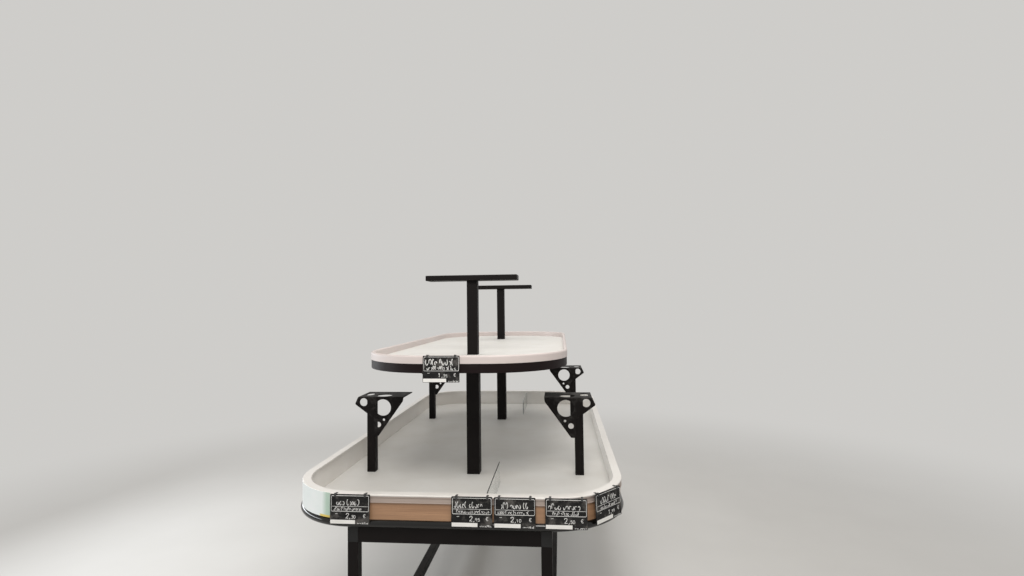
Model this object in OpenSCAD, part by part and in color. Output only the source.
// Two-tier produce display stand: a large open tray with rounded corners on a steel table frame,
// a smaller tray above it on two centre posts, and four consoles on short side posts for a shelf.
// Millimetres, +Z up. The origin lies on the floor under the middle of the stand, +Y runs along its
// length and -Y is the end that faces the customer. Both sides are alike, and so are both ends, but
// that all four consoles turn their cheek to the front.

/* [Lower tray] */
// Width over the rim boards
tray_w = 1290; // [1200:10:1500]
// Length over the rim boards
tray_l = 2400; // [2200:10:2600]
// Outer radius of the rounded corners
tray_r = 280; // [200:10:320]
// Height of the top of the rim above the floor
rim_top = 870; // [800:10:950]
// Height of the rim, from its lower edge to the top of its cap
rim_h = 120; // [110:5:160]
// Thickness of the rim boards
rim_t = 18; // [15:1:22]
// Thickness of the deck board
deck_t = 18; // [15:1:25]

/* [Rim trim] */
// Height of the cap that closes the top of the rim boards
cap_h = 8; // [6:1:12]
// Width of the cap, from its inner edge to the outer face of the rim boards
cap_w = 28; // [26:1:36]
// Thickness of the white skirt inside the rim boards
skirt_t = 3; // [2:0.5:4]
// Height of the price rail under the cap
price_rail_h = 22; // [18:1:30]
// Depth of the price rail
price_rail_d = 5; // [4:0.5:6]
// Height of the bumper round the lower edge
bumper_h = 28; // [24:1:36]
// How far the bumper stands out
bumper_d = 12; // [8:1:14]

/* [Table frame] */
// Width of the square legs
leg_w = 40; // [30:5:50]
// Distance from the side of the tray to the outer face of a leg
leg_side_inset = 269; // [230:1:310]
// Distance from the end of the tray to the outer face of a leg
leg_end_inset = 10; // [5:5:60]
// Radius of the long edges of the steel tubes
tube_r = 3; // [1:0.5:5]
// Height of the rails right under the deck
top_rail_h = 60; // [50:5:80]
// Height of the frame beams that carry the posts
beam_h = 40; // [30:5:50]
// Depth of the frame beams
beam_d = 60; // [50:5:80]
// Height of the middle of the low rails above the floor
low_rail_z = 120; // [90:10:200]
// Diameter of the levelling feet
foot_d = 50; // [40:5:60]
// Height of the foot plates, with their cones
foot_t = 10; // [8:1:14]
// Length of the foot stems between plate and leg
stem_l = 15; // [10:1:30]
// Diameter of the foot stems
stem_d = 12; // [10:1:16]

/* [Posts] */
// Distance between the two post frames along the stand
bay = 1200; // [1000:5:1240]
// Width of the square centre posts
post_w = 50; // [40:5:56]
// Width of the square sleeves round the lower part of the centre posts
sleeve_w = 60; // [58:1:80]
// Width of the T bars on the centre posts
t_bar_w = 435; // [300:5:600]
// Depth of the T bars
t_bar_d = 100; // [60:5:120]
// Thickness of the T bars
t_bar_h = 25; // [16:1:40]
// Height of the top of the T bars above the floor
t_bar_top = 1700; // [1600:10:1800]
// Width of the square side posts
side_post_w = 40; // [30:1:45]
// Distance from the side of the tray to the middle of a side post
side_post_inset = 150; // [125:1:170]

/* [Consoles] */
// Height of the top of the consoles above the floor
console_top = 1124; // [1080:2:1160]
// Thickness of the console sheet
console_t = 4; // [3:0.5:5]
// Reach of the console from the post towards the middle
console_in = 160; // [140:1:180]
// Reach of the console from the post to the outside
console_out = 62; // [55:1:70]
// Depth of the console's top flange
console_d = 156; // [140:2:180]
// Length of the cheek down to its lower end
console_inner_h = 185; // [170:1:220]
// Length of the cheek down to the knee on its outer side
console_outer_h = 102; // [90:1:110]
// Inner radius of the fold between cheek and flange
bend_r = 4; // [2:1:8]
// Radius of the free corners of the sheet
sheet_r = 7; // [3:1:10]
// Diameter of the large round cut-out
cutout_d = 78; // [60:1:80]
// Diameter of the round hole near the outer corner
corner_hole_d = 38; // [24:1:38]
// Diameter of the middle hole low on the cheek
middle_hole_d = 26; // [20:1:28]
// Diameter of the small hole beside it
small_hole_d = 12; // [8:1:14]
// Diameter of the round hole in the flange
flange_cutout_d = 74; // [60:1:76]
// Width of the slot in the flange, behind the post
flange_slot_w = 36; // [24:1:40]
// Length of the slot in the flange
flange_slot_l = 72; // [40:1:80]

/* [Upper tray] */
// Width over the upper rim
upper_w = 890; // [800:5:900]
// Length over the upper rim
upper_l = 2060; // [1700:10:2100]
// Outer radius of the upper tray's corners
upper_r = 335; // [240:5:350]
// Height of the top of the upper rim above the floor
upper_top = 1357; // [1300:1:1400]
// Height of the upper rim
upper_rim_h = 33; // [24:1:50]
// Thickness of the upper rim
upper_rim_t = 16; // [12:1:20]
// Height of the dark fascia under the upper rim
fascia_h = 37; // [24:1:40]
// Thickness of the upper deck board
upper_deck_t = 12; // [10:1:18]
// Height of the arms that carry the upper deck
arm_h = 36; // [30:1:40]

/* [Price boards] */
// Width of a price board
board_w = 148; // [120:1:160]
// Height of a price board
board_h = 105; // [90:1:110]
// Thickness of a price board
board_t = 4; // [3:0.5:6]
// Lean of the price boards
board_lean = 3.6; // [3:0.1:6]
// Radius of the corners of a price board
board_r = 3; // [1:0.5:6]
// How far the first board reaches out past the left end of the straight front edge
board_1_past = 67; // [60:1:75]
// Left edge of the second board on the front edge
board_2 = 17; // [-250:1:18]
// Left edge of the third board on the front edge
board_3 = 171; // [168:1:180]
// Distance from the left edge of the fourth board to the right end of the straight front edge
board_4_in = 12; // [8:1:30]
// How far the board on the front right corner is turned from the front edge, in degrees
board_5_turn = 48; // [45:1:55]
// Left edge of the board on the upper tray
upper_board = -131; // [-200:1:0]

/* [Hidden] */
$fn = 96;

FRONT = -1;
REAR = 1;
LEFT = -1;
RIGHT = 1;

steel_black = [0.09, 0.09, 0.10];
trim_white = [0.90, 0.90, 0.88];
decor_wood = [0.76, 0.62, 0.52];
rail_grey = [0.78, 0.77, 0.76];
slate = [0.13, 0.13, 0.14];

// Levels of the lower tray, from the floor up
rim_bottom = rim_top - rim_h;
deck_top = rim_bottom + deck_t;
board_top = rim_top - cap_h;
rail_bottom = rim_bottom - top_rail_h;
beam_bottom = rail_bottom - beam_h;
leg_bottom = foot_t + stem_l;

// Levels of the upper tray
upper_rim_bottom = upper_top - upper_rim_h;
upper_deck_bottom = upper_rim_bottom - upper_deck_t;
arm_bottom = upper_deck_bottom - arm_h;

// Places in plan
straight_x = tray_w / 2 - tray_r;
side_x = tray_w / 2 - side_post_inset;
leg_x = tray_w / 2 - leg_side_inset - leg_w / 2;
leg_y = tray_l / 2 - leg_end_inset - leg_w / 2;
frame_y = bay / 2;
skirt_offset = rim_t + skirt_t;
nose_d = price_rail_d + 1;
fascia_inset = 2;
fascia_t = 12;
divider_x = 138;
divider_t = 4;
divider_l = 430;
arm_w = 760;
arm_d = 80;

// The console's cheek: how its outline runs at its two ends, and how far its lower end reaches
// from the middle of the post, at the outside and at the inside
cheek_slope = [16, 34];
cheek_return = [3, 20];
cheek_foot = [-15, -37];

// Distances from the console's top down to the edges of its holes, or to their middle
cutout_drop = 11;
corner_hole_drop = 6;
middle_hole_drop = 131;

// Distances from the holes to the edge or the post beside them
corner_hole_in = 8;
cutout_gap = 1;
middle_hole_gap = 4;

// From one hole to the next, and the middles of the flange's hole and slot, from the middle of the
// post and from the cheek's front face
small_hole_shift = [27, 23];
flange_cutout = [-52, 52];
flange_slot = [29, 84];

function unit(v) = v / norm(v);

// A rectangle about the origin with round corners: two crossing bars and a disc in each corner
module rounded_rectangle(w, l, r) {
    square([w - 2 * r, l], center = true);
    square([w, l - 2 * r], center = true);
    for (x = [-1, 1], y = [-1, 1]) translate([x * (w / 2 - r), y * (l / 2 - r)]) circle(r);
}

// A flat board with round corners
module rounded_plate(w, l, r, z_low, t) {
    translate([0, 0, z_low]) linear_extrude(t) rounded_rectangle(w, l, r);
}

// A box that is centred in plan and stands on its lower face
module plain_box(size_x, size_y, z_low, z_high) {
    translate([-size_x / 2, -size_y / 2, z_low]) cube([size_x, size_y, z_high - z_low]);
}

// Steel tubes along each axis, with round long edges. Their ends are closed, so they are solid here
module tube_z(size_x, size_y, z_low, z_high) {
    rounded_plate(size_x, size_y, tube_r, z_low, z_high - z_low);
}

module tube_x(length, size_y, z_low, z_high) {
    translate([-length / 2, 0, (z_low + z_high) / 2]) rotate([90, 0, 90])
        linear_extrude(length) rounded_rectangle(size_y, z_high - z_low, tube_r);
}

module tube_y(size_x, length, z_low, z_high) {
    translate([0, length / 2, (z_low + z_high) / 2]) rotate([90, 0, 0])
        linear_extrude(length) rounded_rectangle(size_x, z_high - z_low, tube_r);
}

// One straight stretch of a section that runs round a tray. The section's x is the distance outside
// the tray's outline and its y is the height. Side 0 is the right one, side 1 the rear, and so on.
module straight_side(w, l, r, side) {
    across = side % 2 == 0 ? w : l;
    along = side % 2 == 0 ? l : w;
    rotate([0, 0, side * 90]) translate([across / 2, 0, 0])
        rotate([90, 0, 0]) linear_extrude(along - 2 * r, center = true) children();
}

// A quarter turn of the same section round one corner, counted from the rear right corner
module corner_side(w, l, r, corner) {
    x = (corner == 0 || corner == 3) ? w / 2 - r : r - w / 2;
    y = corner < 2 ? l / 2 - r : r - l / 2;
    translate([x, y, 0]) rotate([0, 0, corner * 90])
        rotate_extrude(angle = 90) translate([r, 0]) children();
}

// The same section all the way round
module tray_ring(w, l, r) {
    for (side = [0:3]) {
        straight_side(w, l, r, side) children();
        corner_side(w, l, r, side) children();
    }
}

// A foot is turned: a flat plate, a cone that sheds water, and the stem that screws into the leg
module levelling_foot() {
    collar = 3;
    rotate_extrude() polygon([
        [0, 0],
        [foot_d / 2, 0],
        [foot_d / 2, foot_t / 2],
        [stem_d / 2 + collar, foot_t],
        [stem_d / 2, foot_t],
        [stem_d / 2, foot_t + stem_l],
        [0, foot_t + stem_l]
    ]);
}

module levelling_feet() {
    color(steel_black)
        for (x = [-leg_x, leg_x], y = [-leg_y, leg_y]) translate([x, y, 0]) levelling_foot();
}

module leg(side, end) {
    color(steel_black) translate([side * leg_x, end * leg_y, 0])
        tube_z(leg_w, leg_w, leg_bottom, rail_bottom);
}

module low_rail(side) {
    color(steel_black) translate([side * leg_x, 0, 0])
        tube_y(leg_w, 2 * leg_y - leg_w, low_rail_z - leg_w / 2, low_rail_z + leg_w / 2);
}

module low_crossbar(end) {
    color(steel_black) translate([0, end * leg_y, 0])
        tube_x(2 * leg_x - leg_w, leg_w, low_rail_z - leg_w / 2, low_rail_z + leg_w / 2);
}

module top_rail(side) {
    color(steel_black) translate([side * leg_x, 0, 0])
        tube_y(leg_w, 2 * leg_y + leg_w, rail_bottom, rim_bottom);
}

module top_crossbar(end) {
    color(steel_black) translate([0, end * leg_y, 0])
        tube_x(2 * leg_x - leg_w, leg_w, rail_bottom, rim_bottom);
}

module frame_beam(end) {
    color(steel_black) translate([0, end * frame_y, 0])
        tube_x(2 * side_x + side_post_w, beam_d, beam_bottom, rail_bottom);
}

// The deck board, with square cut-outs where the posts pass
module tray_deck() {
    color(trim_white) difference() {
        rounded_plate(tray_w - 2 * rim_t, tray_l - 2 * rim_t, tray_r - rim_t, rim_bottom, deck_t);
        for (end = [FRONT, REAR]) translate([0, end * frame_y, 0]) {
            tube_z(post_w, post_w, rim_bottom - 1, deck_top + 1);
            for (side = [LEFT, RIGHT]) translate([side * side_x, 0, 0])
                tube_z(side_post_w, side_post_w, rim_bottom - 1, deck_top + 1);
        }
    }
}

module rim_section() {
    translate([-rim_t, rim_bottom]) square([rim_t, board_top - rim_bottom]);
}

module rim_ends() {
    color(decor_wood)
        for (side = [1, 3]) straight_side(tray_w, tray_l, tray_r, side) rim_section();
}

module rim_sides() {
    color(decor_wood)
        for (side = [0, 2]) straight_side(tray_w, tray_l, tray_r, side) rim_section();
}

module rim_corners() {
    color(decor_wood)
        for (corner = [0:3]) corner_side(tray_w, tray_l, tray_r, corner) rim_section();
}

// A channel that opens outwards and takes the price labels
module price_rail_section() {
    web = 2;
    lip = 3;
    translate([0, board_top - price_rail_h]) difference() {
        square([price_rail_d, price_rail_h]);
        translate([web, lip]) square([price_rail_d, price_rail_h - 2 * lip]);
    }
}

module price_rail() {
    color(rail_grey) tray_ring(tray_w, tray_l, tray_r) price_rail_section();
}

// The bumper's section is the part of a circle that stands out of the rim board
module bumper_section() {
    radius = (bumper_h * bumper_h / 4 + bumper_d * bumper_d) / (2 * bumper_d);
    intersection() {
        translate([bumper_d - radius, rim_bottom + bumper_h / 2]) circle(radius);
        translate([0, rim_bottom]) square([bumper_d, bumper_h]);
    }
}

module bumper() {
    color(steel_black) tray_ring(tray_w, tray_l, tray_r) bumper_section();
}

// Cap over the boards with a round nose, and the skirt that hangs from it inside the tray
module liner_section() {
    translate([-cap_w, board_top]) square([cap_w + nose_d - cap_h / 2, cap_h]);
    translate([nose_d - cap_h / 2, board_top + cap_h / 2]) circle(d = cap_h);
    translate([-skirt_offset, deck_top]) square([skirt_t, board_top - deck_top]);
}

module tray_liner() {
    color(trim_white) tray_ring(tray_w, tray_l, tray_r) liner_section();
}

module dividers() {
    color([0.85, 0.90, 0.92, 0.4]) for (end = [FRONT, REAR])
        translate([divider_x, end * (tray_l / 2 - skirt_offset - divider_l / 2), 0])
            plain_box(divider_t, divider_l, deck_top, board_top);
}

module centre_post(end) {
    color(steel_black) translate([0, end * frame_y, 0])
        tube_z(post_w, post_w, rail_bottom, t_bar_top - t_bar_h);
}

module post_sleeve(end) {
    color(steel_black) translate([0, end * frame_y, 0]) difference() {
        tube_z(sleeve_w, sleeve_w, deck_top, arm_bottom);
        tube_z(post_w, post_w, deck_top - 1, arm_bottom + 1);
    }
}

module t_bar(end) {
    color(steel_black) translate([0, end * frame_y, 0])
        tube_x(t_bar_w, t_bar_d, t_bar_top - t_bar_h, t_bar_top);
}

module side_post(side, end) {
    color(steel_black) translate([side * side_x, end * frame_y, 0])
        tube_z(side_post_w, side_post_w, rail_bottom, console_top - console_t - bend_r);
}

// What lies between a corner of an outline and the arc of radius r that rounds it. It reaches a
// little past the corner, and its disc is a hair larger, so that both cross the sides cleanly
module corner_wedge(before, corner, after, r) {
    past = 1.1;
    swell = 0.02;
    u = unit(before - corner);
    v = unit(after - corner);
    half_angle = acos(u * v) / 2;
    touch = r / tan(half_angle);
    centre = corner + unit(u + v) * r / sin(half_angle);
    translate(centre) difference() {
        polygon([
            [0, 0],
            (corner + u * touch - centre) * past,
            (corner - centre) * past,
            (corner + v * touch - centre) * past
        ]);
        circle(r + swell);
    }
}

// Outline of the console's cheek, with x away from the middle and y up from the console's top.
// Its free corners are rounded, and so is the inner corner where it turns down to its lower end
module cheek_outline() {
    points = [
        [-console_in, 0],
        [console_out, 0],
        [console_out + cheek_slope.x, -cheek_slope.y],
        [cheek_foot.x, -console_outer_h],
        [cheek_foot.x, -console_inner_h],
        [cheek_foot.y, -console_inner_h],
        [cheek_return.x - console_in, -cheek_return.y]
    ];
    difference() {
        polygon(points);
        for (i = [2, 4, 5, 6])
            corner_wedge(points[i - 1], points[i], points[(i + 1) % 7], sheet_r);
    }
    corner_wedge(points[4], points[3], points[2], sheet_r);
}

module cheek_holes() {
    post_face = -side_post_w / 2;
    middle_hole = [post_face - middle_hole_gap - middle_hole_d / 2, -middle_hole_drop];
    translate([console_out - corner_hole_in - corner_hole_d / 2, -corner_hole_drop - corner_hole_d / 2])
        circle(d = corner_hole_d);
    translate([post_face - cutout_gap - cutout_d / 2, -cutout_drop - cutout_d / 2])
        circle(d = cutout_d);
    translate(middle_hole) circle(d = middle_hole_d);
    translate([middle_hole.x - small_hole_shift.x, middle_hole.y + small_hole_shift.y])
        circle(d = small_hole_d);
}

module flange_holes() {
    straight = flange_slot_l - flange_slot_w;
    translate(flange_cutout) circle(d = flange_cutout_d);
    translate(flange_slot) {
        square([flange_slot_w, straight], center = true);
        for (y = [-straight / 2, straight / 2]) translate([0, y]) circle(d = flange_slot_w);
    }
}

// The folded sheet from its side, with x from the front face of the cheek to the end of the flange
module fold_section() {
    outer_r = bend_r + console_t;
    translate([0, -console_inner_h]) square([console_t, console_inner_h - outer_r]);
    translate([outer_r, -console_t]) square([console_d - outer_r, console_t]);
    translate([outer_r, -outer_r]) difference() {
        circle(outer_r);
        circle(bend_r);
        translate([0, -2 * outer_r]) square([2 * outer_r, 4 * outer_r]);
        translate([-2 * outer_r, -2 * outer_r]) square([4 * outer_r, 2 * outer_r]);
    }
}

// A console of folded sheet: the cheek stands on the front face of its post, and the flange reaches
// back over the post
module console(side, end) {
    reach = console_in + console_out + cheek_slope.x;
    color(steel_black) translate([side * side_x, end * frame_y - side_post_w / 2 - console_t, console_top])
        scale([side, 1, 1]) difference() {
            intersection() {
                translate([-console_in, 0, 0]) rotate([90, 0, 90])
                    linear_extrude(reach) fold_section();
                translate([0, console_d, 0]) rotate([90, 0, 0])
                    linear_extrude(console_d) cheek_outline();
            }
            translate([0, console_t + 1, 0]) rotate([90, 0, 0])
                linear_extrude(console_t + 2) cheek_holes();
            translate([0, 0, -console_t - 1]) linear_extrude(console_t + 2) flange_holes();
        }
}

// A cross arm under the upper deck, with a square hole for the post
module upper_arm(end) {
    color(steel_black) translate([0, end * frame_y, 0]) difference() {
        tube_x(arm_w, arm_d, arm_bottom, upper_deck_bottom);
        tube_z(post_w, post_w, arm_bottom - 1, upper_deck_bottom + 1);
    }
}

module upper_deck() {
    inset = fascia_inset + fascia_t;
    color(trim_white) difference() {
        rounded_plate(upper_w - 2 * inset, upper_l - 2 * inset, upper_r - inset,
            upper_deck_bottom, upper_deck_t);
        for (end = [FRONT, REAR]) translate([0, end * frame_y, 0])
            tube_z(post_w, post_w, upper_deck_bottom - 1, upper_rim_bottom + 1);
    }
}

// The upper rim is a board on edge with a fully rounded top
module upper_rim_section() {
    straight = upper_rim_h - upper_rim_t / 2;
    translate([-upper_rim_t, upper_rim_bottom]) square([upper_rim_t, straight]);
    translate([-upper_rim_t / 2, upper_rim_bottom + straight]) circle(d = upper_rim_t);
}

module upper_rim() {
    color(trim_white) tray_ring(upper_w, upper_l, upper_r) upper_rim_section();
}

module upper_fascia() {
    color(steel_black) tray_ring(upper_w, upper_l, upper_r)
        translate([-fascia_inset - fascia_t, upper_rim_bottom - fascia_h])
            square([fascia_t, fascia_h]);
}

// A price board that hangs from its top edge and leans out over what is below it
module price_board() {
    rotate([-board_lean, 0, 0]) translate([board_w / 2, 0, -board_h / 2])
        rotate([90, 0, 0]) linear_extrude(board_t) rounded_rectangle(board_w, board_h, board_r);
}

module price_boards() {
    color(slate) {
        for (left = [-straight_x - board_1_past, board_2, board_3, straight_x - board_4_in])
            translate([left, -tray_l / 2 - nose_d, rim_top]) price_board();
        translate([straight_x, tray_r - tray_l / 2, rim_top]) rotate([0, 0, board_5_turn])
            translate([-board_w / 2, -tray_r - nose_d, 0]) price_board();
    }
}

module upper_price_board() {
    color(slate) translate([upper_board, -upper_l / 2, upper_top]) price_board();
}

// A bent card on the front left corner, round the nose of the cap
module corner_card() {
    first_angle = 213;
    card_angle = 42;
    card_t = 1.5;
    card_bottom = rim_bottom + bumper_h + 2;
    color(trim_white) translate([tray_r - tray_w / 2, tray_r - tray_l / 2, 0])
        rotate([0, 0, first_angle]) rotate_extrude(angle = card_angle)
            translate([tray_r + nose_d, card_bottom]) square([card_t, rim_top - card_bottom]);
}

levelling_feet();
leg(LEFT, FRONT);  // leg_front_left
leg(RIGHT, FRONT);  // leg_front_right
leg(LEFT, REAR);  // leg_rear_left
leg(RIGHT, REAR);  // leg_rear_right
low_rail(LEFT);  // low_rail_left
low_rail(RIGHT);  // low_rail_right
low_crossbar(FRONT);  // low_crossbar_front
low_crossbar(REAR);  // low_crossbar_rear
top_rail(LEFT);  // top_rail_left
top_rail(RIGHT);  // top_rail_right
top_crossbar(FRONT);  // top_crossbar_front
top_crossbar(REAR);  // top_crossbar_rear
frame_beam(FRONT);  // frame_beam_front
frame_beam(REAR);  // frame_beam_rear
tray_deck();
rim_ends();
rim_sides();
rim_corners();
price_rail();
bumper();
tray_liner();
dividers();
centre_post(FRONT);  // centre_post_front
centre_post(REAR);  // centre_post_rear
post_sleeve(FRONT);  // post_sleeve_front
post_sleeve(REAR);  // post_sleeve_rear
t_bar(FRONT);  // t_bar_front
t_bar(REAR);  // t_bar_rear
side_post(LEFT, FRONT);  // side_post_front_left
side_post(RIGHT, FRONT);  // side_post_front_right
side_post(LEFT, REAR);  // side_post_rear_left
side_post(RIGHT, REAR);  // side_post_rear_right
console(LEFT, FRONT);  // console_front_left
console(RIGHT, FRONT);  // console_front_right
console(LEFT, REAR);  // console_rear_left
console(RIGHT, REAR);  // console_rear_right
upper_arm(FRONT);  // upper_arm_front
upper_arm(REAR);  // upper_arm_rear
upper_deck();
upper_rim();
upper_fascia();
price_boards();
upper_price_board();
corner_card();
